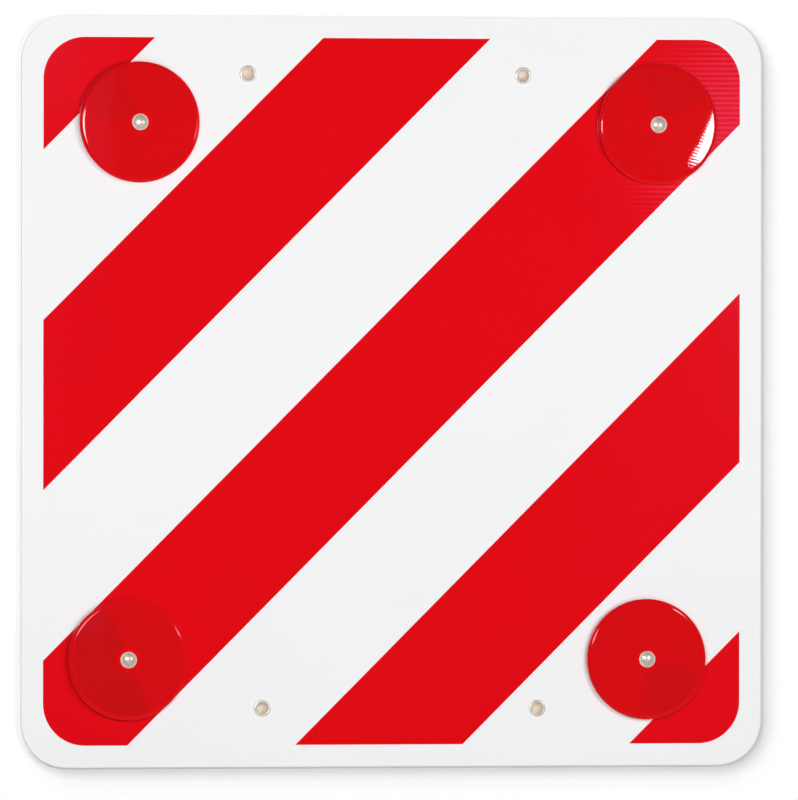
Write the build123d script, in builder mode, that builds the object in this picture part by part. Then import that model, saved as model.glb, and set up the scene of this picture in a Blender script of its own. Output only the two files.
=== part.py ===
from build123d import *

import os
from math import radians, sin

# Overhanging load sign, lying face up on the tails of its rivets. X runs to the right of
# the face, Y up it and Z out of it. The origin is on the surface that the sign lies on,
# under the middle of the board. All sizes are in millimetres.

# Board: a twin-wall plastic sheet with square flutes along X, open at both ends
BOARD_WIDTH = 500.0
BOARD_HEIGHT = 500.0
BOARD_CORNER_R = 30.0
BOARD_T = 3.5
FLUTE_PITCH = 3.3
FLUTE_RIB_T = 0.35
FLUTE_SKIN_T = 0.35

# Red film: diagonal stripes and two corners of one square field with round corners
FILM_T = 0.1
FILM_MARGIN = 14.5
FILM_CORNER_R = 28.0
STRIPE_WIDTH = 80.0
STRIPE_SPACING = 160.0
STRIPE_ANGLE = 45.0
CORNER_REACH = 75.0

# Reflectors: a moulded lens, closed at the back by a plate inside its skirt
REFLECTOR_D = 80.5
LENS_H = 6.5
LENS_DOME_H = 1.5
LENS_LAND_D = 13.0
LENS_EDGE_R = 2.6
LENS_SKIRT_T = 1.8
LENS_FACE_T = 3.4
LENS_BOSS_D = 10.0
PRISM_PITCH = 6.0
PRISM_MARGIN = 0.6
PRISM_GAP = 0.4
BACK_T = 1.2
BACK_CLEARANCE = 0.15
FALLING_REFLECTOR_FROM_SIDE = 78.5
FALLING_REFLECTOR_FROM_END = 71.0
RISING_REFLECTOR_FROM_SIDE = 71.0
RISING_REFLECTOR_FROM_END = 71.5

# Rivets: a domed head on the lens, and a hollow tail rolled over a washer at the back
RIVET_HEAD_D = 11.0
RIVET_HEAD_H = 2.5
RIVET_SHANK_D = 4.0
RIVET_TAIL_D = 7.0
RIVET_BORE_D = 2.6
RIVET_BORE_DEPTH = 4.0
RIVET_CLEARANCE = 0.2
RIVET_WASHER_D = 12.0
RIVET_WASHER_T = 0.8

# Eyelets: a pressed tube, rolled outwards onto the face and onto a washer at the back
EYELET_BORE_D = 7.4
EYELET_FLANGE_D = 11.5
EYELET_WALL = 0.45
EYELET_TAIL_D = 10.6
EYELET_WASHER_D = 12.5
EYELET_WASHER_T = 0.5
EYELET_CLEARANCE = 0.1
FALLING_EYELET_FROM_SIDE = 152.0
FALLING_EYELET_FROM_END = 38.5
RISING_EYELET_FROM_SIDE = 162.0
RISING_EYELET_FROM_END = 39.0

# Heights of the stack, from the surface that the sign lies on
rivet_roll_r = (RIVET_TAIL_D - RIVET_BORE_D) / 4
rivet_seat_z = rivet_roll_r
board_back_z = rivet_seat_z + RIVET_WASHER_T
board_face_z = board_back_z + BOARD_T
film_top_z = board_face_z + FILM_T
lens_land_z = film_top_z + LENS_H
eyelet_seat_z = board_back_z - EYELET_WASHER_T

# Radii that pieces share
rivet_hole_r = RIVET_SHANK_D / 2 + RIVET_CLEARANCE
eyelet_bore_r = EYELET_BORE_D / 2
eyelet_barrel_r = eyelet_bore_r + EYELET_WALL
eyelet_flange_r = EYELET_FLANGE_D / 2
eyelet_tail_r = EYELET_TAIL_D / 2
eyelet_hole_r = eyelet_barrel_r + EYELET_CLEARANCE
lens_r = REFLECTOR_D / 2
lens_cavity_r = lens_r - LENS_SKIRT_T

# Falling pairs lie upper left and lower right, rising pairs lower left and upper right
half_width = BOARD_WIDTH / 2
half_height = BOARD_HEIGHT / 2


def four_places(falling_x, falling_y, rising_x, rising_y):
    """Names the four places that a falling and a rising distance from the middle give."""
    return {
        "upper_left": (-falling_x, falling_y),
        "upper_right": (rising_x, rising_y),
        "lower_left": (-rising_x, -rising_y),
        "lower_right": (falling_x, -falling_y),
    }


reflector_places = four_places(
    half_width - FALLING_REFLECTOR_FROM_SIDE,
    half_height - FALLING_REFLECTOR_FROM_END,
    half_width - RISING_REFLECTOR_FROM_SIDE,
    half_height - RISING_REFLECTOR_FROM_END,
)
eyelet_places = four_places(
    half_width - FALLING_EYELET_FROM_SIDE,
    half_height - FALLING_EYELET_FROM_END,
    half_width - RISING_EYELET_FROM_SIDE,
    half_height - RISING_EYELET_FROM_END,
)
rivet_points = list(reflector_places.values())
eyelet_points = list(eyelet_places.values())

os.makedirs("parts", exist_ok=True)


def upright_plane(x, y, z):
    """Plane through a turned piece's axis: its own x runs outwards, its own y upwards."""
    return Plane(origin=(x, y, z), x_dir=(1, 0, 0), z_dir=(0, -1, 0))


def save(builder, name):
    """Names a finished piece and writes its file."""
    builder.part.label = name
    export_step(builder.part, f"parts/{name}.step")


# Board
flute_count = int((BOARD_HEIGHT - FLUTE_RIB_T) // FLUTE_PITCH)
flute_width = FLUTE_PITCH - FLUTE_RIB_T
flute_depth = BOARD_T - 2 * FLUTE_SKIN_T
with BuildPart() as board:
    with BuildSketch(Plane.XY.offset(board_back_z)):
        RectangleRounded(BOARD_WIDTH, BOARD_HEIGHT, BOARD_CORNER_R)
        with Locations(*rivet_points):
            Circle(rivet_hole_r, mode=Mode.SUBTRACT)
        with Locations(*eyelet_points):
            Circle(eyelet_hole_r, mode=Mode.SUBTRACT)
    extrude(amount=BOARD_T)
    with BuildSketch(Plane.YZ):
        with Locations((0, board_back_z + BOARD_T / 2)):
            with GridLocations(FLUTE_PITCH, 0, flute_count, 1):
                Rectangle(flute_width, flute_depth)
    extrude(amount=BOARD_WIDTH, both=True, mode=Mode.SUBTRACT)
save(board, "board")

# Red film, each piece a band across the field: its name, its middle and its width
film_width = BOARD_WIDTH - 2 * FILM_MARGIN
film_height = BOARD_HEIGHT - 2 * FILM_MARGIN
band_length = film_width + film_height
across = Vector(1, 0).rotate(Axis.Z, STRIPE_ANGLE - 90)
lower_right_corner = Vector(film_width / 2, -film_height / 2)
corner_width = 2 * CORNER_REACH * sin(radians(STRIPE_ANGLE))
bands = [
    ("red_corner_upper_left", -lower_right_corner, corner_width),
    ("red_stripe_upper_left", -across * STRIPE_SPACING, STRIPE_WIDTH),
    ("red_stripe_middle", Vector(0, 0), STRIPE_WIDTH),
    ("red_stripe_lower_right", across * STRIPE_SPACING, STRIPE_WIDTH),
    ("red_corner_lower_right", lower_right_corner, corner_width),
]
for band_name, band_middle, band_width in bands:
    with BuildPart() as band:
        with BuildSketch(Plane.XY.offset(board_face_z)):
            with Locations(band_middle):
                Rectangle(band_length, band_width, rotation=STRIPE_ANGLE)
            RectangleRounded(film_width, film_height, FILM_CORNER_R, mode=Mode.INTERSECT)
            with Locations(*rivet_points):
                Circle(rivet_hole_r, mode=Mode.SUBTRACT)
            with Locations(*eyelet_points):
                Circle(eyelet_flange_r + EYELET_CLEARANCE, mode=Mode.SUBTRACT)
        extrude(amount=FILM_T)
    save(band, band_name)

# Prism field under the lens face: three sets of parallel V grooves leave three-sided
# pyramids, which point back and end short of the back plate
lens_rim_h = LENS_H - LENS_DOME_H
lens_roof_h = LENS_H - LENS_FACE_T
prism_h = lens_roof_h - BACK_T - PRISM_GAP
groove_depth = prism_h + PRISM_GAP
groove_half_width = groove_depth * (PRISM_PITCH / 3) / prism_h
groove_count = 2 * int(lens_cavity_r / PRISM_PITCH) + 3
with BuildPart() as prisms:
    with BuildSketch(Plane.XY.offset(lens_roof_h)):
        Circle(lens_cavity_r - PRISM_MARGIN)
        Circle(LENS_BOSS_D / 2 + PRISM_MARGIN, mode=Mode.SUBTRACT)
    extrude(amount=-prism_h)
    for turn in (0, 60, 120):
        with BuildSketch(Plane.XZ.rotated((0, 0, turn))):
            with GridLocations(PRISM_PITCH, 0, groove_count, 1):
                Polygon(
                    (0, lens_roof_h),
                    (groove_half_width, lens_roof_h - groove_depth),
                    (-groove_half_width, lens_roof_h - groove_depth),
                    align=None,
                )
        extrude(amount=lens_r, both=True, mode=Mode.SUBTRACT)

# Lens: a domed face with a flat land for the rivet, a skirt and a boss down to the back plate
with BuildPart() as moulded_lens:
    with BuildSketch(Plane.XZ) as lens_section:
        with BuildLine():
            Line((rivet_hole_r, LENS_H), (LENS_LAND_D / 2, LENS_H))
            TangentArc((LENS_LAND_D / 2, LENS_H), (lens_r, lens_rim_h), tangent=(1, 0))
            Polyline(
                (lens_r, lens_rim_h),
                (lens_r, 0),
                (lens_cavity_r, 0),
                (lens_cavity_r, lens_roof_h),
                (LENS_BOSS_D / 2, lens_roof_h),
                (LENS_BOSS_D / 2, BACK_T),
                (rivet_hole_r, BACK_T),
                (rivet_hole_r, LENS_H),
            )
        make_face()
        outer_rim = lens_section.vertices().group_by(Axis.X)[-1].sort_by(Axis.Y)[-1]
        fillet(outer_rim, LENS_EDGE_R)
    revolve(axis=Axis.Z)
    add(prisms.part)

# Reflectors, each with the rivet that clamps it through the board
head_r = RIVET_HEAD_D / 2
shank_r = RIVET_SHANK_D / 2
tail_r = RIVET_TAIL_D / 2
bore_r = RIVET_BORE_D / 2
for place, (x, y) in reflector_places.items():
    with BuildPart() as lens:
        with Locations((x, y, film_top_z)):
            add(moulded_lens.part)
    save(lens, f"reflector_lens_{place}")

    with BuildPart() as back_plate:
        with BuildSketch(Plane.XY.offset(film_top_z)):
            with Locations((x, y)):
                Circle(lens_cavity_r - BACK_CLEARANCE)
                Circle(rivet_hole_r, mode=Mode.SUBTRACT)
        extrude(amount=BACK_T)
    save(back_plate, f"reflector_back_{place}")

    with BuildPart() as rivet:
        with BuildSketch(upright_plane(x, y, 0)):
            with BuildLine():
                head_top = (0, lens_land_z + RIVET_HEAD_H)
                TangentArc(head_top, (head_r, lens_land_z), tangent=(1, 0))
                Polyline(
                    (head_r, lens_land_z),
                    (shank_r, lens_land_z),
                    (shank_r, rivet_seat_z),
                    (tail_r, rivet_seat_z),
                )
                ThreePointArc((tail_r, rivet_seat_z), (bore_r + rivet_roll_r, 0), (bore_r, rivet_seat_z))
                Polyline(
                    (bore_r, rivet_seat_z),
                    (bore_r, RIVET_BORE_DEPTH),
                    (0, RIVET_BORE_DEPTH),
                    head_top,
                )
            make_face()
        revolve(axis=Axis((x, y, 0), (0, 0, 1)))
    save(rivet, f"rivet_{place}")

    with BuildPart() as rivet_washer:
        with BuildSketch(Plane.XY.offset(rivet_seat_z)):
            with Locations((x, y)):
                Circle(RIVET_WASHER_D / 2)
                Circle(rivet_hole_r, mode=Mode.SUBTRACT)
        extrude(amount=RIVET_WASHER_T)
    save(rivet_washer, f"rivet_washer_{place}")

# Eyelets, each rolled onto the board's face and onto a washer at its back
for place, (x, y) in eyelet_places.items():
    face_roll_r = (eyelet_flange_r - eyelet_bore_r) / 2
    tail_roll_r = (eyelet_tail_r - eyelet_bore_r) / 2
    face_roll = (eyelet_bore_r + face_roll_r, board_face_z)
    tail_roll = (eyelet_bore_r + tail_roll_r, eyelet_seat_z)
    with BuildPart() as eyelet:
        with BuildSketch(upright_plane(x, y, 0)):
            with BuildLine():
                CenterArc(face_roll, face_roll_r, 0, 180)
                Line((eyelet_bore_r, board_face_z), (eyelet_bore_r, eyelet_seat_z))
                CenterArc(tail_roll, tail_roll_r, 180, 180)
                Line((eyelet_tail_r, eyelet_seat_z), (eyelet_tail_r - EYELET_WALL, eyelet_seat_z))
                CenterArc(tail_roll, tail_roll_r - EYELET_WALL, 0, -180)
                Line((eyelet_barrel_r, eyelet_seat_z), (eyelet_barrel_r, board_face_z))
                CenterArc(face_roll, face_roll_r - EYELET_WALL, 180, -180)
                Line((eyelet_flange_r - EYELET_WALL, board_face_z), (eyelet_flange_r, board_face_z))
            make_face()
        revolve(axis=Axis((x, y, 0), (0, 0, 1)))
    save(eyelet, f"eyelet_{place}")

    with BuildPart() as eyelet_washer:
        with BuildSketch(Plane.XY.offset(eyelet_seat_z)):
            with Locations((x, y)):
                Circle(EYELET_WASHER_D / 2)
                Circle(eyelet_hole_r, mode=Mode.SUBTRACT)
        extrude(amount=EYELET_WASHER_T)
    save(eyelet_washer, f"eyelet_washer_{place}")
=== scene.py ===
import logging
import math
from dataclasses import dataclass, field, replace
from enum import Enum
from typing import Iterable, Optional, Union

import bpy
import numpy as np
from mathutils import Matrix, Quaternion, Vector


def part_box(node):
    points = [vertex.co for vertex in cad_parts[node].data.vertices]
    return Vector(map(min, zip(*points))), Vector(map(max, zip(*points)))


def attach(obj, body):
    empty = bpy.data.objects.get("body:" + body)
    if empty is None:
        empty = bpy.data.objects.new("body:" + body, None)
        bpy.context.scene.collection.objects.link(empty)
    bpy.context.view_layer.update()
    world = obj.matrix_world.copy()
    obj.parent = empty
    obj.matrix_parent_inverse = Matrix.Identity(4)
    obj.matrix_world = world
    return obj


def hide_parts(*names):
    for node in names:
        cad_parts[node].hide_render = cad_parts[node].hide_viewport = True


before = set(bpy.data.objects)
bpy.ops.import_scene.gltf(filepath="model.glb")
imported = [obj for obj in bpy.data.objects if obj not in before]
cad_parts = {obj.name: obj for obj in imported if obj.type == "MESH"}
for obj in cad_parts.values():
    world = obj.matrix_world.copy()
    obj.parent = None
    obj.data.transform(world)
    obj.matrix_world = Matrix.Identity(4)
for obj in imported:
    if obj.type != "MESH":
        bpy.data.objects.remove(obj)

logging.basicConfig(level=logging.INFO, format="%(message)s")
log = logging.getLogger("overhanging_load_sign")

MM = 0.001
BODY = "root"
PLACES = ("upper_left", "upper_right", "lower_left", "lower_right")
RED_FIELDS = (
    "red_corner_upper_left",
    "red_stripe_upper_left",
    "red_stripe_middle",
    "red_stripe_lower_right",
    "red_corner_lower_right",
)
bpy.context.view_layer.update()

Socket = bpy.types.NodeSocket
Node = bpy.types.Node
Tree = bpy.types.NodeTree
Material = bpy.types.Material
Piece = bpy.types.Object
Source = Union[Socket, float, tuple]
Colour = tuple[float, float, float, float]
Point = tuple[float, float, float]
Span = tuple[float, float]

BLACK: Colour = (0.0, 0.0, 0.0, 1.0)
WHITE: Colour = (1.0, 1.0, 1.0, 1.0)
QUARTER_TURN = math.pi / 2
# Most of a noise's values lie in this span.
NOISE_SPAN: Span = (0.3, 0.7)
FALLING: Span = (1.0, 0.0)
WARM: Point = (1.02, 1.02, 0.95)
COOL: Point = (0.97, 0.97, 1.05)
VIOLET: Point = (0.7, 0.62, 1.6)


class Slot(Enum):
    """The record's material slots, one for each kind of new piece."""

    LENS = "red_lens"
    RIVET = "rivet_metal"
    WASHER = "washer_metal"
    EYELET = "eyelet_metal"


def srgb(red: int, green: int, blue: int) -> Colour:
    """Turns display values from 0 to 255 into a linear colour.

    Args:
        red: Red display value.
        green: Green display value.
        blue: Blue display value.

    Returns:
        The linear colour with an alpha of 1. Above the toe each value is
        ((v / 255 + 0.055) / 1.055) to the power 2.4.
    """
    values = np.array([red, green, blue]) / 255.0
    linear = np.where(values <= 0.04045, values / 12.92, ((values + 0.055) / 1.055) ** 2.4)
    return (*(float(v) for v in linear), 1.0)


def darker(colour: Colour, share: float) -> Colour:
    """Returns a colour times a share, with an alpha of 1."""
    return (*(share * value for value in colour[:3]), 1.0)


class Wiring:
    """Adds and joins the nodes of one material, world or group."""

    def __init__(self, tree: Tree) -> None:
        """Keeps the tree that the nodes go into."""
        self.tree = tree

    def add(self, kind: str, **settings: object) -> Node:
        """Adds a node.

        Args:
            kind: The node's type.
            settings: Attributes to set on it.

        Returns:
            The new node.
        """
        node = self.tree.nodes.new(kind)
        for name, value in settings.items():
            setattr(node, name, value)
        return node

    def feed(self, socket: Socket, source: Source) -> None:
        """Links a socket to another one, or gives it a constant.

        Args:
            socket: The input to feed.
            source: An output socket, or a plain value.
        """
        if isinstance(source, Socket):
            self.tree.links.new(source, socket)
        else:
            socket.default_value = source

    def feed_named(self, node: Node, **sources: Source) -> None:
        """Feeds a node's inputs by name.

        Args:
            node: The node.
            sources: What feeds it, by name with underscores for spaces.
        """
        for name, source in sources.items():
            self.feed(node.inputs[name.replace("_", " ")], source)

    def feed_in_order(self, node: Node, sources: Iterable[Source]) -> None:
        """Feeds a node's inputs in their own order.

        Args:
            node: The node.
            sources: What feeds it.
        """
        for socket, source in zip(node.inputs, sources):
            self.feed(socket, source)

    def math(self, operation: str, *sources: Source, clamp: bool = False) -> Socket:
        """Adds a Math node.

        Args:
            operation: Its operation.
            sources: Its inputs, in order.
            clamp: Whether the result is kept from 0 to 1.

        Returns:
            Its result.
        """
        node = self.add("ShaderNodeMath", operation=operation, use_clamp=clamp)
        self.feed_in_order(node, sources)
        return node.outputs[0]

    def plus(self, first: Source, second: Source, clamp: bool = False) -> Socket:
        """Returns the sum of two values."""
        return self.math("ADD", first, second, clamp=clamp)

    def minus(self, first: Source, second: Source) -> Socket:
        """Returns the first value less the second."""
        return self.math("SUBTRACT", first, second)

    def times(self, first: Source, second: Source, clamp: bool = False) -> Socket:
        """Returns the product of two values."""
        return self.math("MULTIPLY", first, second, clamp=clamp)

    def weighed(self, first: Source, first_weight: Source, second: Source, second_weight: Source) -> Socket:
        """Returns the sum of two values, each times its weight."""
        return self.plus(self.times(first, first_weight), self.times(second, second_weight))

    def vector_math(self, operation: str, *sources: Source) -> Node:
        """Adds a Vector Math node.

        Args:
            operation: Its operation.
            sources: Its inputs, in order.

        Returns:
            The node.
        """
        node = self.add("ShaderNodeVectorMath", operation=operation)
        self.feed_in_order(node, sources)
        return node

    def split(self, vector: Source) -> tuple[Socket, Socket, Socket]:
        """Splits a vector.

        Args:
            vector: The vector.

        Returns:
            Its X, Y and Z.
        """
        node = self.add("ShaderNodeSeparateXYZ")
        self.feed(node.inputs[0], vector)
        return tuple(node.outputs)

    def mapped(self, vector: Source, **settings: Point) -> Socket:
        """Turns and stretches coordinates, then moves them.

        Args:
            vector: The coordinates.
            settings: Location, Rotation or Scale.

        Returns:
            The new coordinates.
        """
        node = self.add("ShaderNodeMapping")
        self.feed_named(node, Vector=vector, **settings)
        return node.outputs["Vector"]

    def ramp(self, value: Source, span: tuple[Source, Source], result: Span = (0.0, 1.0)) -> Socket:
        """Adds a smooth step.

        Args:
            value: What is mapped.
            span: Where the step starts and ends.
            result: The results up to its start and from its end on.

        Returns:
            The mapped value.
        """
        node = self.add("ShaderNodeMapRange", interpolation_type="SMOOTHSTEP")
        self.feed_named(node, Value=value, From_Min=span[0], From_Max=span[1])
        self.feed_named(node, To_Min=result[0], To_Max=result[1])
        return node.outputs["Result"]

    def mix(self, factor: Source, first: Source, second: Source) -> Socket:
        """Adds a colour mix.

        Args:
            factor: Share of the second colour.
            first: First colour.
            second: Second colour.

        Returns:
            The mixed colour.
        """
        node = self.add("ShaderNodeMix", data_type="RGBA")
        for index, source in ((0, factor), (6, first), (7, second)):
            self.feed(node.inputs[index], source)
        return node.outputs[2]

    def noise(self, vector: Source, scale: Source, detail: float = 2.0) -> Socket:
        """Adds a noise texture.

        Args:
            vector: Its coordinates.
            scale: Its scale, per metre.
            detail: Its octaves.

        Returns:
            Its value from 0 to 1.
        """
        node = self.add("ShaderNodeTexNoise")
        self.feed_named(node, Vector=vector, Scale=scale, Detail=detail)
        return node.outputs["Fac"]

    def object_coordinates(self) -> Socket:
        """Returns the object's own coordinates, in metres."""
        return self.add("ShaderNodeTexCoord").outputs["Object"]

    def bump(self, height: Source, depth: float, normal: Optional[Socket] = None) -> Socket:
        """Adds a bump.

        Args:
            height: Height map from 0 to 1.
            depth: How deep a height of 1 is, in metres.
            normal: A normal to start from.

        Returns:
            The new normal.
        """
        node = self.add("ShaderNodeBump")
        self.feed_named(node, Strength=1.0, Distance=depth, Height=height)
        if normal is not None:
            self.feed_named(node, Normal=normal)
        return node.outputs["Normal"]

    def group(self, tree: Tree, **sources: Source) -> Node:
        """Places a node group.

        Args:
            tree: The group.
            sources: Values for its inputs, by name with underscores for spaces.

        Returns:
            The group node.
        """
        node = self.add("ShaderNodeGroup", node_tree=tree)
        self.feed_named(node, **sources)
        return node


def new_group(name: str, inputs: dict[str, float], outputs: Iterable[str]) -> tuple[Wiring, Node, Node]:
    """Starts a node group of plain values.

    Args:
        name: Its name.
        inputs: Its inputs with their defaults.
        outputs: Its outputs.

    Returns:
        The wiring of its tree, its input node and its output node.
    """
    tree = bpy.data.node_groups.new(name, "ShaderNodeTree")
    kind = "NodeSocketFloat"
    for label, default in inputs.items():
        socket = tree.interface.new_socket(name=label, in_out="INPUT", socket_type=kind)
        socket.default_value = default
    for label in outputs:
        tree.interface.new_socket(name=label, in_out="OUTPUT", socket_type=kind)
    wiring = Wiring(tree)
    return wiring, wiring.add("NodeGroupInput"), wiring.add("NodeGroupOutput")


def flute_group() -> Tree:
    """Builds the print-through of the board's ribs.

    The phase is the object's Y divided by the pitch. The distance to the nearest
    rib, by a ping-pong of one half, gives a flat top with a shallow dip at each
    rib, and a slow noise along the board makes some dips deeper than others.

    Returns:
        A group with the outputs Height, from 0 at a rib to 1, and Rib, 1 at a rib.
    """
    stretch = (6.0, 120.0, 6.0)
    wiring, entry, leave = new_group(
        "flute_print_through", {"Pitch": 3.3 * MM, "Dip Share": 0.3, "Unevenness": 0.4}, ("Height", "Rib")
    )
    place = wiring.object_coordinates()
    _, up, _ = wiring.split(place)
    phase = wiring.math("DIVIDE", up, entry.outputs["Pitch"])
    distance = wiring.math("PINGPONG", wiring.plus(phase, 0.5), 0.5)
    flat = wiring.ramp(distance, (0.0, entry.outputs["Dip Share"]))
    slow = wiring.noise(wiring.mapped(place, Scale=stretch), 1.0)
    depth = wiring.minus(1.0, wiring.times(slow, entry.outputs["Unevenness"]))
    rib = wiring.minus(1.0, flat)
    height = wiring.minus(1.0, wiring.times(rib, depth))
    wiring.feed_named(leave, Height=height, Rib=rib)
    return wiring.tree


def grain_group() -> Tree:
    """Builds the fine unevenness of a moulded, rolled or pressed surface.

    Two noises of the object's coordinates, one at the given scale and one eight
    times finer, are added with weights 0.7 and 0.3.

    Returns:
        A group with the output Height from 0 to 1.
    """
    finer = 8.0
    coarse_share, fine_share = 0.7, 0.3
    wiring, entry, leave = new_group("surface_grain", {"Scale": 400.0}, ("Height",))
    place = wiring.object_coordinates()
    coarse = wiring.noise(place, entry.outputs["Scale"])
    fine = wiring.noise(place, wiring.times(entry.outputs["Scale"], finer))
    wiring.feed_named(leave, Height=wiring.weighed(coarse, coarse_share, fine, fine_share))
    return wiring.tree


def scuff_group() -> Tree:
    """Builds sparse fine handling marks.

    A noise stretched along one slanted direction is cut off near its top, which
    leaves short thin streaks, and a broad noise switches them off in most places.

    Returns:
        A group with the output Mask, 1 on a mark.
    """
    slant, stretch = (0.0, 0.0, 0.6), (1.0, 14.0, 1.0)
    streak_detail, streak_span = 3.0, (0.66, 0.72)
    patch_scale, patch_span = 9.0, (0.5, 0.7)
    wiring, entry, leave = new_group("handling_marks", {"Scale": 60.0, "Amount": 0.3}, ("Mask",))
    turned = wiring.mapped(wiring.object_coordinates(), Rotation=slant, Scale=stretch)
    streak = wiring.ramp(wiring.noise(turned, entry.outputs["Scale"], streak_detail), streak_span)
    patch = wiring.ramp(wiring.noise(wiring.object_coordinates(), patch_scale), patch_span)
    wiring.feed_named(leave, Mask=wiring.times(wiring.times(streak, patch), entry.outputs["Amount"]))
    return wiring.tree


@dataclass(frozen=True)
class Effects:
    """The shared node groups."""

    flutes: Tree = field(default_factory=flute_group)
    grain: Tree = field(default_factory=grain_group)
    scuffs: Tree = field(default_factory=scuff_group)


def start_material(name: str, **constants: Source) -> tuple[Material, Wiring, Node]:
    """Starts a material.

    Args:
        name: Its name.
        constants: Values set on the Principled BSDF's own sockets, by name with
            underscores for spaces.

    Returns:
        The material, the wiring of its tree and its Principled BSDF.
    """
    material = bpy.data.materials.new(name)
    material.use_nodes = True
    wiring = Wiring(material.node_tree)
    shader = material.node_tree.nodes["Principled BSDF"]
    wiring.feed_named(shader, **constants)
    return material, wiring, shader


@dataclass(frozen=True)
class BoardFinish:
    """White fluted plastic with a satin skin."""

    white: Colour = srgb(243, 243, 243)
    shade: Colour = srgb(236, 237, 238)
    rib_shade: float = 0.1
    blotch_scale: float = 7.0
    blotch_shade: float = 0.25
    scuff_shade: float = 0.6
    roughness: Span = (0.38, 0.5)
    dip_depth: float = 0.004 * MM
    grain_depth: float = 0.003 * MM
    # Strength of the painted emission between the skins.
    glow: float = 0.3
    skin: float = 0.4 * MM

    def build(self, effects: Effects) -> Material:
        """Builds the board's material.

        Between the skins the board gets a weak painted emission of light, standing in for the light that the
        thin plastic lets through.

        Args:
            effects: The shared node groups.

        Returns:
            The material.
        """
        material, wiring, shader = start_material(
            "board_plastic", IOR=1.49, Specular_IOR_Level=0.35, Emission_Strength=self.glow
        )
        flutes = wiring.group(effects.flutes)
        grain = wiring.group(effects.grain, Scale=900.0)
        scuffs = wiring.group(effects.scuffs, Scale=45.0, Amount=0.5)
        blotches = wiring.noise(wiring.object_coordinates(), self.blotch_scale)
        tint = wiring.times(flutes.outputs["Rib"], self.rib_shade)
        tint = wiring.plus(tint, wiring.ramp(blotches, NOISE_SPAN, (0.0, self.blotch_shade)))
        tint = wiring.plus(tint, wiring.times(scuffs.outputs["Mask"], self.scuff_shade), clamp=True)
        low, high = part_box("board")
        _, _, height = wiring.split(wiring.object_coordinates())
        # Painted light: the faces between the skins get a weak emission, though the board is no lamp.
        above = wiring.math("GREATER_THAN", height, low[2] + self.skin)
        below = wiring.math("LESS_THAN", height, high[2] - self.skin)
        normal = wiring.bump(flutes.outputs["Height"], self.dip_depth)
        wiring.feed_named(
            shader,
            Base_Color=wiring.mix(tint, self.white, self.shade),
            Roughness=wiring.ramp(grain.outputs["Height"], NOISE_SPAN, self.roughness),
            Emission_Color=wiring.mix(wiring.times(above, below), BLACK, self.white),
            Normal=wiring.bump(grain.outputs["Height"], self.grain_depth, normal),
        )
        return material


@dataclass(frozen=True)
class Haze:
    """A hazy patch of film round a point of the face."""

    across: float
    up: float
    amount: float
    rib_share: float
    base_share: float = 0.35
    reach: Span = (0.03, 0.12)

    def roughness(self, wiring: Wiring, rib: Socket) -> Socket:
        """Works out what the haze adds to the roughness.

        It fades with the distance from its point, and it is the base share plus the
        ribs' mask times their share.

        Args:
            wiring: The wiring of the material.
            rib: The ribs' mask.

        Returns:
            The added roughness.
        """
        moved = wiring.mapped(wiring.object_coordinates(), Location=(-self.across, -self.up, 0.0))
        away = wiring.vector_math("LENGTH", moved).outputs["Value"]
        amount = wiring.ramp(away, self.reach, (self.amount, 0.0))
        return wiring.times(amount, wiring.plus(self.base_share, wiring.times(rib, self.rib_share)))


@dataclass(frozen=True)
class FilmFinish:
    """Glossy red film over the ribs of the board."""

    red: Colour = (0.775, 0.0033, 0.0068, 1.0)
    deep: Colour = (0.745, 0.0029, 0.0062, 1.0)
    gloss_tint: Colour = (0.85, 0.45, 1.0, 1.0)
    rib_shade: float = 0.2
    blotch_scale: float = 6.0
    blotch_span: Span = (0.35, 0.65)
    blotch_shade: float = 0.5
    roughness: Span = (0.08, 0.11)
    scuff_roughness: float = 0.2
    hazes: tuple[Haze, ...] = (Haze(0.25, 0.16, 0.18, 1.3), Haze(-0.25, 0.25, 0.14, 0.2))
    dip_depth: float = 0.018 * MM
    ripple_depth: float = 0.002 * MM

    def build(self, effects: Effects) -> Material:
        """Builds the film's material.

        Args:
            effects: The shared node groups.

        Returns:
            The material.
        """
        material, wiring, shader = start_material(
            "red_film_gloss", IOR=1.48, Specular_IOR_Level=0.48, Specular_Tint=self.gloss_tint
        )
        flutes = wiring.group(effects.flutes)
        grain = wiring.group(effects.grain, Scale=260.0)
        scuffs = wiring.group(effects.scuffs, Scale=60.0, Amount=0.6)
        blotches = wiring.noise(wiring.object_coordinates(), self.blotch_scale)
        blotches = wiring.ramp(blotches, self.blotch_span, (0.0, self.blotch_shade))
        tint = wiring.plus(wiring.times(flutes.outputs["Rib"], self.rib_shade), blotches, clamp=True)
        rough = wiring.ramp(grain.outputs["Height"], NOISE_SPAN, self.roughness)
        rough = wiring.plus(rough, wiring.times(scuffs.outputs["Mask"], self.scuff_roughness))
        for haze in self.hazes:
            rough = wiring.plus(rough, haze.roughness(wiring, flutes.outputs["Rib"]))
        normal = wiring.bump(flutes.outputs["Height"], self.dip_depth)
        wiring.feed_named(
            shader,
            Base_Color=wiring.mix(tint, self.red, self.deep),
            Roughness=rough,
            Normal=wiring.bump(grain.outputs["Height"], self.ripple_depth, normal),
        )
        return material


@dataclass(frozen=True)
class LensMap:
    """The place on a lens, in millimetres across and up from the rivet."""

    wiring: Wiring
    u: Socket
    v: Socket

    def along(self, angle: float) -> Socket:
        """Returns u times the cosine of an angle plus v times its sine."""
        return self.wiring.weighed(self.u, math.cos(angle), self.v, math.sin(angle))


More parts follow.
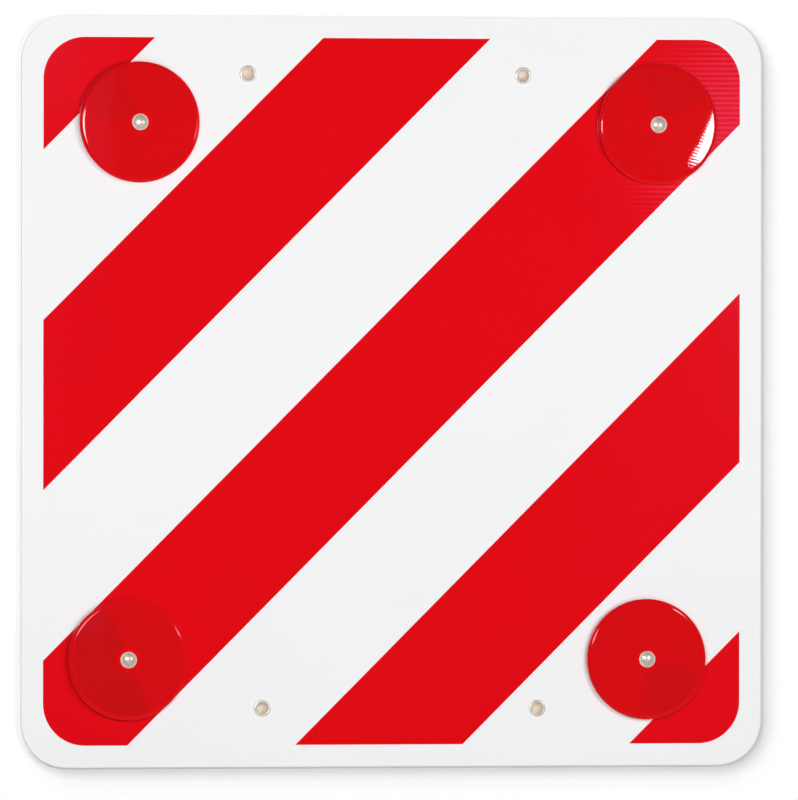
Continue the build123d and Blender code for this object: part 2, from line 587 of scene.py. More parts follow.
@dataclass(frozen=True)
class LensFinish:
    """Clear red lens over a field of small prisms, with painted shade on the prisms' sides and on one fan of
    prisms.

    Its radii, fades and pitches are millimetres of the lens map, which starts at
    the rivet. The fan's start and end are degrees.
    """

    name: str
    fan_start: float
    fan_end: float
    # How dark the fan's painted shade is.
    fan_painted_shade: float
    red: Colour = (0.716, 0.0034, 0.0058, 1.0)
    dark: Colour = (0.562, 0.0048, 0.0064, 1.0)
    rim: Colour = (0.70, 0.0018, 0.0060, 1.0)
    fan_fades: Span = (0.12, 0.2)
    prism_pitch: float = 1.75
    # Painted shade on two of each prism's three sides.
    prism_painted_shades: Span = (0.16, 0.08)
    blotch_scale: float = 16.0
    blotch_shade: float = 0.2
    field_radius: float = 37.4
    field_fade: float = 0.6
    rim_fade: float = 2.2
    rim_share: float = 0.8
    boss_radius: float = 6.6
    boss_fade: float = 1.0
    boss_share: float = 0.4
    prism_fade: float = 3.0
    roughness: float = 0.03
    scuff_roughness: float = 0.2
    ripple_pitch: float = 2.2
    ripple_turn: float = math.radians(-20)
    ripple_depth: float = 0.007 * MM
    row_tilt: float = 0.0055
    row_span: Span = (-0.9, 0.9)
    row_heights: Span = (6.0, -18.0)
    row_shares: Span = (0.3, 1.0)

    def fan(self, spot: LensMap) -> Socket:
        """Works out the fan where shade is painted on the prisms.

        The place's angle is counted from the fan's middle, and its size is compared
        with half of the fan's opening, with soft borders.

        Args:
            spot: The place on the lens.

        Returns:
            1 in the fan and 0 outside it.
        """
        wiring = spot.wiring
        middle = math.radians((self.fan_start + self.fan_end) / 2)
        half = math.radians(self.fan_end - self.fan_start) / 2
        across = spot.along(middle + QUARTER_TURN)
        off = wiring.math("ABSOLUTE", wiring.math("ARCTAN2", across, spot.along(middle)))
        return wiring.ramp(off, (half - self.fan_fades[0], half + self.fan_fades[1]), FALLING)

    def painted_facet_shade(self, spot: LensMap) -> Socket:
        """Paints shade on the sides of the small prisms, a different share on each side.

        The place is measured along three directions 60 degrees apart and divided by
        the pitch, and the least distance to a whole number among the three is the
        height of a three-sided pyramid. Which of them is least tells its sides apart.

        Args:
            spot: The place on the lens.

        Returns:
            The painted shade of the prism's side.
        """
        wiring = spot.wiring
        margin = 0.001
        heights = []
        for index in range(3):
            run = wiring.math("DIVIDE", spot.along(index * math.pi / 3), self.prism_pitch)
            heights.append(wiring.math("PINGPONG", run, 0.5))
        lowest = wiring.math("MINIMUM", wiring.math("MINIMUM", heights[0], heights[1]), heights[2])
        limit = wiring.plus(lowest, margin)
        first = wiring.math("LESS_THAN", heights[0], limit)
        second = wiring.math("LESS_THAN", heights[1], limit)
        return wiring.weighed(first, self.prism_painted_shades[0], second, self.prism_painted_shades[1])

    def skin(self, spot: LensMap, inside: Socket) -> Socket:
        """Works out the waved skin over the prisms.

        It waves with the sine of the slanted second coordinate, and its rows lean to
        the left and right by up to the row tilt with the same sine, more in the
        lower half than in the upper one.

        Args:
            spot: The place on the lens.
            inside: The mask of the prism field.

        Returns:
            The normal.
        """
        wiring = spot.wiring
        run = spot.along(self.ripple_turn + QUARTER_TURN)
        wave = wiring.math("SINE", wiring.times(run, 2 * math.pi / self.ripple_pitch))
        swell = wiring.times(wiring.times(wave, 0.5), inside)
        row = wiring.ramp(wave, self.row_span, (-self.row_tilt, self.row_tilt))
        row = wiring.times(row, wiring.ramp(spot.v, self.row_heights, self.row_shares))
        sideways = wiring.add("ShaderNodeCombineXYZ")
        wiring.feed_named(sideways, X=wiring.times(row, inside))
        tilted = wiring.vector_math("ADD", wiring.bump(swell, self.ripple_depth), sideways.outputs["Vector"])
        return wiring.vector_math("NORMALIZE", tilted.outputs["Vector"]).outputs["Vector"]

    def build(self, effects: Effects) -> Material:
        """Builds the lens material.

        Args:
            effects: The shared node groups.

        Returns:
            The material.
        """
        material, wiring, shader = start_material(self.name, IOR=1.49, Specular_IOR_Level=0.45)
        u, v, _ = wiring.split(wiring.add("ShaderNodeUVMap", uv_map="lens_map").outputs["UV"])
        spot = LensMap(wiring, u, v)
        radius = wiring.math("SQRT", wiring.weighed(u, u, v, v))
        inside = wiring.times(
            wiring.ramp(radius, (self.boss_radius, self.boss_radius + self.prism_fade)),
            wiring.ramp(radius, (self.field_radius - self.field_fade, self.field_radius), FALLING),
        )
        blotches = wiring.noise(wiring.object_coordinates(), self.blotch_scale)
        blotches = wiring.ramp(blotches, NOISE_SPAN, (0.0, self.blotch_shade))
        # The prisms' sides and the fan get painted shade; the blotches are a random tone.
        shade = wiring.plus(self.painted_facet_shade(spot), blotches)
        shade = wiring.plus(wiring.times(self.fan(spot), self.fan_painted_shade), shade)
        colour = wiring.mix(wiring.times(shade, inside, clamp=True), self.red, self.dark)
        edge = wiring.ramp(radius, (self.field_radius, self.field_radius + self.rim_fade))
        boss_span = (self.boss_radius - self.boss_fade, self.boss_radius + self.boss_fade)
        boss = wiring.ramp(radius, boss_span, (self.boss_share, 0.0))
        solid = wiring.plus(wiring.times(edge, self.rim_share), boss, clamp=True)
        scuffs = wiring.group(effects.scuffs, Scale=110.0, Amount=0.4)
        wiring.feed_named(
            shader,
            Base_Color=wiring.mix(solid, colour, self.rim),
            Roughness=wiring.plus(self.roughness, wiring.times(scuffs.outputs["Mask"], self.scuff_roughness)),
            Normal=self.skin(spot, inside),
        )
        return material


@dataclass(frozen=True)
class MouldedFinish:
    """Plain moulded plastic, used for the plate behind the lens."""

    name: str
    colour: Colour
    shade: float = 0.8
    roughness: Span = (0.45, 0.6)
    grain_depth: float = 0.02 * MM

    def build(self, effects: Effects) -> Material:
        """Builds the moulded plastic's material.

        Args:
            effects: The shared node groups.

        Returns:
            The material.
        """
        material, wiring, shader = start_material(self.name, IOR=1.49)
        grain = wiring.group(effects.grain, Scale=700.0).outputs["Height"]
        wiring.feed_named(
            shader,
            Base_Color=wiring.mix(grain, self.colour, darker(self.colour, self.shade)),
            Roughness=wiring.ramp(grain, NOISE_SPAN, self.roughness),
            Normal=wiring.bump(grain, self.grain_depth),
        )
        return material


@dataclass(frozen=True)
class MetalFinish:
    """Bare or plated metal with fine marks."""

    name: str
    colour: Colour
    roughness: float
    scuff: float = 0.25
    metallic: float = 1.0
    shade: float = 0.72
    grain_span: Span = (0.45, 0.75)
    grain_shade: float = 0.1
    spread: Span = (0.75, 1.3)
    scuff_roughness: float = 0.3
    dent_scale: float = 260.0
    dent_depth: float = 0.0
    grain_depth: float = 0.003 * MM

    def build(self, effects: Effects) -> Material:
        """Builds the metal's material.

        Args:
            effects: The shared node groups.

        Returns:
            The material.
        """
        material, wiring, shader = start_material(self.name, Metallic=self.metallic)
        grain = wiring.group(effects.grain, Scale=2600.0).outputs["Height"]
        scuffs = wiring.group(effects.scuffs, Scale=420.0, Amount=1.0)
        marks = wiring.times(scuffs.outputs["Mask"], self.scuff)
        worn = wiring.plus(marks, wiring.ramp(grain, self.grain_span, (0.0, self.grain_shade)), clamp=True)
        rough_span = (self.spread[0] * self.roughness, self.spread[1] * self.roughness)
        rough = wiring.ramp(grain, NOISE_SPAN, rough_span)
        dents = wiring.noise(wiring.object_coordinates(), self.dent_scale, detail=1.0)
        wiring.feed_named(
            shader,
            Base_Color=wiring.mix(worn, self.colour, darker(self.colour, self.shade)),
            Roughness=wiring.plus(rough, wiring.times(marks, self.scuff_roughness)),
            Normal=wiring.bump(grain, self.grain_depth, wiring.bump(dents, self.dent_depth)),
        )
        return material


def arc(centre: Span, radius: float, start: float, end: float, steps: int) -> np.ndarray:
    """Samples a circular arc.

    Args:
        centre: Its middle, as (r, z).
        radius: Its radius.
        start: Start angle in degrees, from the r axis towards z.
        end: End angle in degrees.
        steps: How many spans it has.

    Returns:
        Points (steps + 1, 2), each the middle plus the radius times (cosine, sine).
    """
    angles = np.radians(np.linspace(start, end, steps + 1))
    return np.array(centre) + radius * np.stack([np.cos(angles), np.sin(angles)], axis=1)


def soft_corners(corners: Iterable[Point], steps: int = 4) -> np.ndarray:
    """Rounds the corners of an open outline.

    Each inner corner becomes an arc that touches both of its sides. The distance
    from the corner to either touching point is the radius divided by the tangent of
    half the angle between the sides, and the arc is laid out as a slerp between the
    directions from its middle to the two touching points.

    Args:
        corners: Points (r, z, radius), the first and last kept sharp.
        steps: Spans on each arc.

    Returns:
        The outline's points.
    """
    rows = np.array(list(corners), float)
    outline = [rows[:1, :2]]
    for before, corner, after in zip(rows[:-2], rows[1:-1], rows[2:]):
        radius = corner[2]
        if radius <= 0:
            outline.append(corner[None, :2])
            continue
        back = (before[:2] - corner[:2]) / np.linalg.norm(before[:2] - corner[:2])
        ahead = (after[:2] - corner[:2]) / np.linalg.norm(after[:2] - corner[:2])
        half = math.acos(float(np.clip(back @ ahead, -1, 1))) / 2
        reach = radius / math.tan(half)
        middle = corner[:2] + (back + ahead) / np.linalg.norm(back + ahead) * radius / math.sin(half)
        first = corner[:2] + back * reach - middle
        last = corner[:2] + ahead * reach - middle
        sweep = math.pi - 2 * half
        share = np.linspace(0, 1, steps + 1)[:, None]
        swept = np.sin((1 - share) * sweep) * first + np.sin(share * sweep) * last
        outline.append(middle + swept / math.sin(sweep))
    outline.append(rows[-1:, :2])
    return np.vstack(outline)


@dataclass
class Turned:
    """A solid of revolution about an upright axis through one place."""

    name: str
    place: Span
    outline: np.ndarray
    closed: bool
    segments: int = 128
    crease: float = 38.0

    def mesh(self) -> bpy.types.Mesh:
        """Builds the mesh.

        The outline's points (r, z) are a grid's rows and the turn's angles its
        columns: x is the place's x plus r times the cosine, y the place's y plus r
        times the sine. A closed outline joins its last row to its first. An open
        one starts and ends on the axis, and each end is one pole point.

        Returns:
            The mesh in metres, in the row frame.
        """
        rows = self.outline if self.closed else self.outline[1:-1]
        angles = np.linspace(0, 2 * math.pi, self.segments, endpoint=False)
        x = self.place[0] + rows[:, 0, None] * np.cos(angles)
        y = self.place[1] + rows[:, 0, None] * np.sin(angles)
        z = np.repeat(rows[:, 1, None], self.segments, axis=1)
        points = np.stack([x, y, z], axis=2).reshape(-1, 3)
        count = len(rows)
        step = np.arange(self.segments)
        following = (step + 1) % self.segments
        row = np.arange(count if self.closed else count - 1)[:, None]
        this_start = row * self.segments
        next_start = (row + 1) % count * self.segments
        corners = [this_start + step, next_start + step, next_start + following, this_start + following]
        faces = np.stack(corners, axis=2).reshape(-1, 4).tolist()
        if not self.closed:
            poles = np.array([[*self.place, self.outline[0, 1]], [*self.place, self.outline[-1, 1]]])
            points = np.vstack([points, poles])
            last = (count - 1) * self.segments
            top = np.full(self.segments, count * self.segments)
            faces += np.stack([top, step, following], axis=1).tolist()
            faces += np.stack([top + 1, last + following, last + step], axis=1).tolist()
        mesh = bpy.data.meshes.new(self.name)
        mesh.from_pydata((points * MM).tolist(), [], faces)
        mesh.validate()
        mesh.shade_smooth()
        mesh.set_sharp_from_angle(angle=math.radians(self.crease))
        return mesh

    def build(self, material: Material, slot: Slot, node: str) -> Piece:
        """Makes the piece and puts it in place of a CAD node.

        Args:
            material: Its finish.
            slot: Its material slot; not used.
            node: The node that it stands for.

        Returns:
            The new object.
        """
        mesh = self.mesh()
        mesh.materials.append(material)
        piece = bpy.data.objects.new(self.name, mesh)
        bpy.context.scene.collection.objects.link(piece)
        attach(piece, BODY)
        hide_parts(node)
        return piece


def node_box(node: str) -> tuple[np.ndarray, np.ndarray]:
    """Returns a CAD node's lowest and highest corner in millimetres."""
    low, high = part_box(node)
    return np.array(low) / MM, np.array(high) / MM


def node_place(node: str) -> Span:
    """Returns the middle of a CAD node's box, as (x, y) in millimetres."""
    low, high = node_box(node)
    return float(low[0] + high[0]) / 2, float(low[1] + high[1]) / 2


def ring_outline(node: str, inner: float, edge: float) -> np.ndarray:
    """Works out the closed section of a flat ring with softened edges.

    Args:
        node: The CAD ring, which gives the outer radius and both heights.
        inner: Hole radius.
        edge: Radius on the four edges.

    Returns:
        The outline's points.
    """
    corner_low, corner_high = node_box(node)
    outer = float(corner_high[0] - corner_low[0]) / 2
    low, high = float(corner_low[2]), float(corner_high[2])
    middle = (low + high) / 2
    return soft_corners(
        [
            (inner, middle, 0),
            (inner, high, edge),
            (outer, high, edge),
            (outer, low, edge),
            (inner, low, edge),
            (inner, middle, 0),
        ]
    )[:-1]


def paint(node: str, material: Material) -> None:
    """Puts a material on every slot of a CAD node.

    Args:
        node: The node's name.
        material: Its finish.
    """
    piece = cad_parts[node]
    if not piece.material_slots:
        piece.data.materials.append(material)
    for slot in piece.material_slots:
        slot.material = material
    log.info("%s: finish %s", node, material.name)


@dataclass
class Panel:
    """The fluted board and its red fields."""

    effects: Effects

    def dress(self) -> None:
        """Gives the board and the red fields their finishes."""
        paint("board", BoardFinish().build(self.effects))
        film = FilmFinish().build(self.effects)
        for name in RED_FIELDS:
            paint(name, film)


@dataclass
class Reflector:
    """A lens, its back plate, and the rivet and washer that hold it on the board.

    Its lengths are millimetres, and the bevel's slope is in degrees.
    """

    where: str
    land_r: float = 6.5
    land_edge: float = 0.15
    dome_h: float = 1.5
    edge_r: float = 2.6
    bevel_slope: float = 25.0
    lip_r: float = 0.5
    lip_drop: float = 0.2
    skirt_t: float = 1.8
    skirt_edge: float = 0.25
    face_t: float = 3.4
    roof_edge: float = 0.5
    boss_r: float = 5.0
    boss_edge: float = 0.2
    hole_r: float = 2.2
    hole_edge: float = 0.1
    back_t: float = 1.2
    rivet_lip: float = 0.3
    rivet_edge: float = 0.2
    rivet_foot_edge: float = 0.12
    rivet_shank_r: float = 2.0
    rivet_tail_r: float = 3.5
    rivet_bore_r: float = 1.3
    rivet_bore_top: float = 4.0
    rivet_bore_start: float = 0.1
    rivet_bore_edge: float = 0.4
    washer_edge: float = 0.12

    def lens_outline(self, low: np.ndarray, high: np.ndarray) -> np.ndarray:
        """Works out the lens section.

        The dome is a circle that is level at the land's edge, with a radius of
        ((R - land) squared + h squared) / 2h. The edge arc touches the dome, its
        middle lies the edge radius inside the dome and the skirt, and it goes over
        into a straight bevel, which a small lip arc joins to the skirt.

        Args:
            low: Lowest corner of the CAD lens.
            high: Highest corner of the CAD lens.

        Returns:
            The closed outline, from the land outwards and round under the roof.
        """
        outer = float(high[0] - low[0]) / 2
        seat, land = float(low[2]), float(high[2])
        span = outer - self.land_r
        dome_r = (span ** 2 + self.dome_h ** 2) / (2 * self.dome_h)
        dome_z = land - dome_r
        edge_middle_r = outer - self.edge_r
        lean = math.asin((edge_middle_r - self.land_r) / (dome_r - self.edge_r))
        edge_middle_z = dome_z + (dome_r - self.edge_r) * math.cos(lean)
        edge_start, edge_end = 90 - math.degrees(lean), 90 - self.bevel_slope
        dome = arc((self.land_r, dome_z), dome_r, 90, edge_start, steps=28)
        edge = arc((edge_middle_r, edge_middle_z), self.edge_r, edge_start, edge_end, steps=9)
        slope = math.radians(self.bevel_slope)
        lip_middle_r = outer - self.lip_r
        lip_start_r = lip_middle_r + self.lip_r * math.sin(slope)
        lip_start_z = float(edge[-1, 1]) - math.tan(slope) * (lip_start_r - float(edge[-1, 0]))
        lip_middle_z = lip_start_z - self.lip_r * math.cos(slope)
        lip = arc((lip_middle_r, lip_middle_z), self.lip_r, edge_end, 0, steps=6)
        roof = land - self.face_t
        cavity_r = outer - self.skirt_t
        boss_foot = seat + self.back_t
        under = soft_corners(
            [
                (outer, lip_middle_z - self.lip_drop, 0),
                (outer, seat, self.skirt_edge),
                (cavity_r, seat, self.skirt_edge),
                (cavity_r, roof, self.roof_edge),
                (self.boss_r, roof, self.roof_edge),
                (self.boss_r, boss_foot, self.boss_edge),
                (self.hole_r, boss_foot, self.hole_edge),
                (self.hole_r, land, self.land_edge),
                (self.land_r, land, 0),
            ]
        )
        return np.vstack([dome, edge[1:], lip, under[:-1]])

    def rivet_outline(self, low: np.ndarray, high: np.ndarray, land: float, seat: float) -> np.ndarray:
        """Works out the rivet section.

        The head is a circle that is level at its top, with a radius of
        (r squared + h squared) / 2h, and the tail is half a circle rolled outwards.

        Args:
            low: Lowest corner of the CAD rivet.
            high: Highest corner of the CAD rivet.
            land: Height of the lens land, where the head sits.
            seat: Height of the washer's lower face, where the tail sits.

        Returns:
            The open outline, from the head's top down to the bore's end.
        """
        top = float(high[2])
        head_r = float(high[0] - low[0]) / 2
        rise = top - land - self.rivet_lip
        crown_r = (head_r ** 2 + rise ** 2) / (2 * rise)
        lean = math.degrees(math.asin(head_r / crown_r))
        crown = arc((0, top - crown_r), crown_r, 90, 90 - lean, steps=24)
        side = soft_corners(
            [
                (*crown[-2], 0),
                (*crown[-1], self.rivet_edge),
                (head_r, land, self.rivet_foot_edge),
                (self.rivet_shank_r, land, 0),
                (self.rivet_shank_r, seat, 0),
                (self.rivet_tail_r, seat, 0),
            ]
        )
        roll_r = (self.rivet_tail_r - self.rivet_bore_r) / 2
        roll = arc((self.rivet_bore_r + roll_r, seat), roll_r, 0, -180, steps=16)
        bore = soft_corners(
            [
                (self.rivet_bore_r, seat + self.rivet_bore_start, 0),
                (self.rivet_bore_r, self.rivet_bore_top, self.rivet_bore_edge),
                (0, self.rivet_bore_top, 0),
            ]
        )
        return np.vstack([crown[:-2], side[:-1], roll, bore])

    def build(self, lens: Material, back: Material, rivet: Material, washer: Material) -> None:
        """Builds the lens, the rivet and the washer, and dresses the back plate.

        Args:
            lens: Finish of the lens.
            back: Finish of the back plate.
            rivet: Finish of the rivet.
            washer: Finish of the washer.
        """
        lens_node = f"reflector_lens_{self.where}"
        rivet_node = f"rivet_{self.where}"
        washer_node = f"rivet_washer_{self.where}"
        place = node_place(lens_node)
        low, high = node_box(lens_node)
        outline = self.lens_outline(low, high)
        piece = Turned(f"lens_{self.where}", place, outline, True, 192).build(lens, Slot.LENS, lens_node)
        self.map_lens(piece, place)
        paint(f"reflector_back_{self.where}", back)
        seat = float(node_box(washer_node)[0][2])
        outline = self.rivet_outline(*node_box(rivet_node), float(high[2]), seat)
        Turned(f"domed_rivet_{self.where}", place, outline, False).build(rivet, Slot.RIVET, rivet_node)
        ring = ring_outline(washer_node, self.hole_r, self.washer_edge)
        Turned(f"flat_washer_{self.where}", place, ring, True, 96).build(washer, Slot.WASHER, washer_node)
        log.info("reflector %s: lens, back plate, rivet and washer", self.where)

    def map_lens(self, piece: Piece, place: Span) -> None:
        """Writes the lens map: millimetres from the rivet.

        Args:
            piece: The lens.
            place: Its middle.
        """
        mesh = piece.data
        points = np.empty(len(mesh.vertices) * 3)
        mesh.vertices.foreach_get("co", points)
        flat = points.reshape(-1, 3)[:, :2] / MM - np.array(place)
        corners = np.empty(len(mesh.loops), int)
        mesh.loops.foreach_get("vertex_index", corners)
        layer = mesh.uv_layers.new(name="lens_map")
        layer.data.foreach_set("uv", flat[corners].ravel())


@dataclass
class Eyelet:
    """A pressed eyelet, rolled over the face and over a washer at the back.

    Its lengths are millimetres.
    """

    where: str
    bore_r: float = 3.7
    wall: float = 0.45
    tail_r: float = 5.3
    washer_hole_r: float = 4.25
    washer_edge: float = 0.1

    def outline(self, flange_r: float, face: float, seat: float) -> np.ndarray:
        """Works out the eyelet section: a tube wall with half circles rolled outwards.

        Args:
            flange_r: Outer radius of the roll on the face.
            face: Height of the board's face.
            seat: Height of the washer's lower face.

        Returns:
            The closed outline.
        """
        face_r = (flange_r - self.bore_r) / 2
        tail_r = (self.tail_r - self.bore_r) / 2
        face_middle = (self.bore_r + face_r, face)
        tail_middle = (self.bore_r + tail_r, seat)
        return np.vstack(
            [
                arc(face_middle, face_r, 180, 0, steps=24),
                arc(face_middle, face_r - self.wall, 0, 180, steps=16),
                arc(tail_middle, tail_r - self.wall, 180, 360, steps=12),
                arc(tail_middle, tail_r, 360, 180, steps=18),
            ]
        )

    def build(self, metal: Material) -> None:
        """Builds the eyelet and its washer.

        Args:
            metal: Finish of both.
        """
        node = f"eyelet_{self.where}"
        washer_node = f"eyelet_washer_{self.where}"
        place = node_place(node)
        low, high = node_box(node)
        flange_r = float(high[0] - low[0]) / 2
        face = float(high[2]) - (flange_r - self.bore_r) / 2
        outline = self.outline(flange_r, face, float(node_box(washer_node)[0][2]))
        Turned(f"rolled_eyelet_{self.where}", place, outline, True, 96).build(metal, Slot.EYELET, node)
        ring = ring_outline(washer_node, self.washer_hole_r, self.washer_edge)
        Turned(f"eyelet_ring_{self.where}", place, ring, True, 96).build(metal, Slot.EYELET, washer_node)
        log.info("eyelet %s: eyelet and ring", self.where)


@dataclass(frozen=True)
class Softbox:
    """A rectangular lamp that faces a point and that the camera doesn't see.

    Its radiance is the power over pi times its area, and its roll is in degrees.
    """

    name: str
    place: Point
    aim: Point
    size: Span
    radiance: float
    colour: Point = (1.0, 1.0, 1.0)
    roll: float = 0.0
    mirrored: bool = True

    def build(self) -> Piece:
        """Makes the lamp.

        Returns:
            The lamp object.
        """
        width, height = self.size
        lamp = bpy.data.lights.new(self.name, "AREA")
        lamp.shape = "RECTANGLE"
        lamp.size = width
        lamp.size_y = height
        lamp.energy = self.radiance * math.pi * width * height
        lamp.color = self.colour
        piece = bpy.data.objects.new(self.name, lamp)
        piece.location = self.place
        facing = (Vector(self.aim) - Vector(self.place)).to_track_quat("-Z", "Y")
        piece.rotation_euler = (facing @ Quaternion((0, 0, 1), math.radians(self.roll))).to_euler()
        piece.visible_camera = False
        piece.visible_glossy = self.mirrored
        bpy.context.scene.collection.objects.link(piece)
        return piece


@dataclass
class Studio:
    """The pale floor, the surroundings and the lamps."""

    floor_size: float = 12.0
    floor_colour: Colour = srgb(208, 208, 208)
    lift: float = 0.4
    painted_shadow_span: Span = (0.58, 0.98)
    contact_painted_light: float = 0.8
    shade_reach: float = 27.0 * MM
    contact_reach: float = 3.5 * MM
    shade_lean: Point = (-0.66, 0.6, 0.43)
    paper_colour: Colour = srgb(222, 207, 191)
    paper_size: float = 0.46
    paper_height: float = 0.1 * MM
    paper_lift: float = 0.14
    sky: Span = (0.07, 0.035)
    sky_span: Span = (0.45, 0.93)
    front: float = 0.15
    front_span: Span = (-0.2, -0.8)
    left_rise: float = 0.26
    left_span: Span = (-0.2, -0.55)
    pale_span: Span = (0.05, 0.3)
    panels: tuple[Softbox, ...] = (
        Softbox("left_panel", (-0.75, 0.0, 2.4), (-0.1, 0.0, 0.0), (1.2, 1.6), 1.05, mirrored=False),
        Softbox("right_panel", (1.45, 0.0, 2.4), (0.1, 0.0, 0.0), (1.0, 1.6), 3.2, WARM, mirrored=False),
        Softbox("upper_panel", (0.4, 1.0, 2.4), (0.0, 0.0, 0.0), (1.1, 0.8), 1.9, mirrored=False),
        Softbox("lower_panel", (0.4, -1.0, 2.4), (0.0, 0.0, 0.0), (1.1, 0.8), 5.3, mirrored=False),
    )
    left_strip: Softbox = Softbox("left_strip", (-0.5, 0.17, 1.4), (-0.5, 0.17, 0.0), (0.5, 0.2), 25.0)
    right_strip: Softbox = Softbox(
        "right_strip", (0.647, 0.133, 1.2), (0.647, 0.133, 0.0), (0.095, 0.235), 40.0, COOL, -28.0
    )
    glow_steps: tuple[Span, ...] = (
        (0.16, 0.12),
        (0.11, 0.15),
        (0.075, 0.2),
        (0.05, 0.3),
        (0.03, 0.5),
        (0.016, 1.2),
    )

    def sheet(self, name: str, half: float, height: float) -> tuple[Wiring, Node]:
        """Lays a level square of plain paper that isn't part of the sign.

        Args:
            name: Its name.
            half: Half its side.
            height: Its height.

        Returns:
            The wiring of its material and its Principled BSDF.
        """
        corners = [(-half, -half, height), (half, -half, height), (half, half, height), (-half, half, height)]
        mesh = bpy.data.meshes.new(name)
        mesh.from_pydata(corners, [], [(0, 1, 2, 3)])
        piece = bpy.data.objects.new(name, mesh)
        bpy.context.scene.collection.objects.link(piece)
        material, wiring, shader = start_material(name, Roughness=0.9, Specular_IOR_Level=0.0)
        mesh.materials.append(material)
        return wiring, shader

    def seen(self, wiring: Wiring) -> Socket:
        """Tells what the camera, mirrors and glass see from what only gives light.

        Args:
            wiring: The wiring of the material.

        Returns:
            1 for camera, glossy and transmission rays, and 0 for all others.
        """
        light = wiring.add("ShaderNodeLightPath").outputs
        mirrored = wiring.plus(light["Is Glossy Ray"], light["Is Transmission Ray"])
        return wiring.plus(light["Is Camera Ray"], mirrored, clamp=True)

    def floor(self) -> None:
        """Lays the floor at z = 0.

        The camera sees it lifted to white. The lift fades with the ambient
        occlusion round a direction that leans to the upper left, which paints a
        shadow at the sign's right and lower edges. The contact occlusion adds
        painted light on the floor close to the sign.
        """
        wiring, shader = self.sheet("studio_floor", self.floor_size / 2, 0.0)
        lean = wiring.add("ShaderNodeCombineXYZ")
        wiring.feed_in_order(lean, self.shade_lean)
        shade = wiring.add("ShaderNodeAmbientOcclusion", samples=16)
        wiring.feed_named(shade, Distance=self.shade_reach, Normal=lean.outputs["Vector"])
        contact = wiring.add("ShaderNodeAmbientOcclusion", samples=8)
        wiring.feed_named(contact, Distance=self.contact_reach)
        # Painted shadow: the white lift fades where the leaning occlusion finds the sign. Painted light: the
        # floor is brightened where the sign is close.
        lift = wiring.times(wiring.ramp(shade.outputs["AO"], self.painted_shadow_span), self.lift)
        contact_painted_light = wiring.times(wiring.minus(1.0, contact.outputs["AO"]), self.contact_painted_light)
        strength = wiring.times(self.seen(wiring), wiring.plus(lift, contact_painted_light))
        wiring.feed_named(
            shader, Base_Color=self.floor_colour, Emission_Color=WHITE, Emission_Strength=strength
        )

    def backing(self) -> None:
        """Lays the beige paper that shows through the eyelets."""
        wiring, shader = self.sheet("backing_paper", self.paper_size / 2, self.paper_height)
        strength = wiring.times(self.seen(wiring), self.paper_lift)
        wiring.feed_named(
            shader, Base_Color=self.paper_colour, Emission_Color=self.paper_colour, Emission_Strength=strength
        )

    def world(self) -> None:
        """Sets the surroundings.

        They are white to the camera and, low round the horizon, to metal and glass.
        The rest is dark, darkest overhead and paler in front of the sign, and the
        white reaches higher at the left.
        """
        world = bpy.data.worlds.new("studio")
        world.use_nodes = True
        wiring = Wiring(world.node_tree)
        background = world.node_tree.nodes["Background"]
        across, away, up = wiring.split(wiring.add("ShaderNodeTexCoord").outputs["Generated"])
        level = wiring.ramp(up, self.sky_span, self.sky)
        level = wiring.plus(level, wiring.ramp(away, self.front_span, (0.0, self.front)))
        left = wiring.ramp(across, self.left_span, (0.0, self.left_rise))
        pale = wiring.ramp(wiring.minus(up, left), self.pale_span, FALLING)
        level = wiring.math("MAXIMUM", level, wiring.times(pale, self.seen(wiring)))
        camera = wiring.add("ShaderNodeLightPath").outputs["Is Camera Ray"]
        wiring.feed_named(background, Color=WHITE, Strength=wiring.math("MAXIMUM", level, camera))
        bpy.context.scene.world = world

    def glow_cards(self) -> list[Softbox]:
        """Lists the weak cards that soften the left strip's border.

        Each is larger than the strip by its step on every side.

        Returns:
            The cards, the largest first.
        """
        width, height = self.left_strip.size
        cards = []
        for grown, radiance in self.glow_steps:
            name = f"left_glow_{round(grown * 1000)}"
            size = (width + 2 * grown, height + 2 * grown)
            cards.append(replace(self.left_strip, name=name, size=size, radiance=radiance, colour=VIOLET))
        return cards

    def lamps(self) -> tuple[Softbox, ...]:
        """Lists the lamps.

        Four panels overhead give the plain level, and nothing mirrors them. The
        strips at the left and right and the cards give the lenses their glints.

        Returns:
            The lamps, in the order in which they are made.
        """
        return (*self.panels, self.left_strip, *self.glow_cards(), self.right_strip)

    def build(self) -> None:
        """Builds the whole studio."""
        self.floor()
        self.backing()
        self.world()
        for lamp in self.lamps():
            lamp.build()
        bpy.context.scene.view_settings.view_transform = "Standard"
        log.info("studio: floor, backing paper, surroundings and lamps")


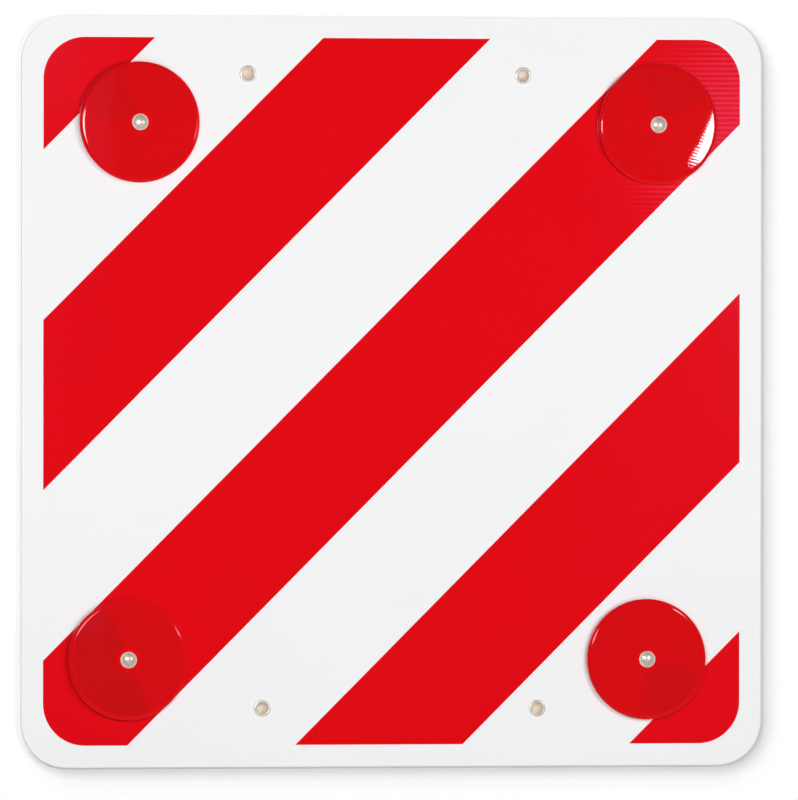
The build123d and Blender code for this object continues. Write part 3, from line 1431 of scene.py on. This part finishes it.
@dataclass(frozen=True)
class PhotoCamera:
    """A far camera that looks down on the face, leaning a little towards its left side.

    The lean narrows the square board as the photograph does. Its lean, pitch and
    roll are in degrees, its sensor is in millimetres and the rest in metres.
    """

    image_width: float = 798.0
    pixels_per_metre: float = 1495.4
    lean: float = 9.59
    pitch: float = 0.22
    roll: float = 0.058
    distance: float = 8.68
    aim_right: float = 4.03 * MM
    aim_up: float = -5.71 * MM
    sensor: float = 36.0

    def build(self) -> Piece:
        """Makes the camera.

        The lens length is the sensor width times the pixels across the distance over
        the picture's width. The aim lies off the middle of the board's face, along
        the camera's own right and up.

        Returns:
            The camera object, set as the scene's camera.
        """
        lean, pitch, roll = (math.radians(angle) for angle in (self.lean, self.pitch, self.roll))
        level = Vector((math.cos(lean), 0, math.sin(lean)))
        away = Vector((-math.sin(lean) * math.cos(pitch), math.sin(pitch), math.cos(lean) * math.cos(pitch)))
        upright = away.cross(level)
        right = math.cos(roll) * level + math.sin(roll) * upright
        up = math.cos(roll) * upright - math.sin(roll) * level
        target = Vector((0, 0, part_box("board")[1].z)) + level * self.aim_right + upright * self.aim_up
        camera = bpy.data.cameras.new("photo_camera")
        camera.sensor_width = self.sensor
        camera.lens = self.sensor * self.pixels_per_metre * self.distance / self.image_width
        camera.clip_end = 10 * self.distance
        piece = bpy.data.objects.new("photo_camera", camera)
        piece.location = target + away * self.distance
        piece.rotation_euler = Matrix((right, up, away)).transposed().to_euler()
        bpy.context.scene.collection.objects.link(piece)
        bpy.context.scene.camera = piece
        log.info("camera: lens %.1f mm at %.2f m", camera.lens, self.distance)
        return piece


def main() -> None:
    """Builds the sign's looks, the studio and the camera."""
    PhotoCamera().build()
    effects = Effects()
    Panel(effects).dress()
    back = MouldedFinish("reflector_back_plastic", srgb(190, 60, 58)).build(effects)
    rivet = MetalFinish(
        "rivet_polish", srgb(250, 236, 218), roughness=0.3, metallic=0.62, dent_depth=0.08 * MM
    ).build(effects)
    washer = MetalFinish("washer_plain", srgb(214, 214, 216), roughness=0.32, scuff=0.6).build(effects)
    plating = MetalFinish(
        "eyelet_plating", srgb(243, 236, 226), roughness=0.28, scuff=0.2, metallic=0.5
    ).build(effects)
    # Each lens's fan of painted shade: where it starts and ends, in degrees, and how dark it is painted.
    painted_shade_fans = {
        "upper_left": (112.0, 172.0, 0.3),
        "upper_right": (35.0, 112.0, 0.34),
        "lower_left": (113.0, 292.0, 0.62),
        "lower_right": (-95.0, -15.0, 0.45),
    }
    for place in PLACES:
        lens = LensFinish(f"red_lens_{place}", *painted_shade_fans[place]).build(effects)
        Reflector(place).build(lens, back, rivet, washer)
    for place in PLACES:
        Eyelet(place).build(plating)
    Studio().build()


if __name__ == "__main__":
    main()
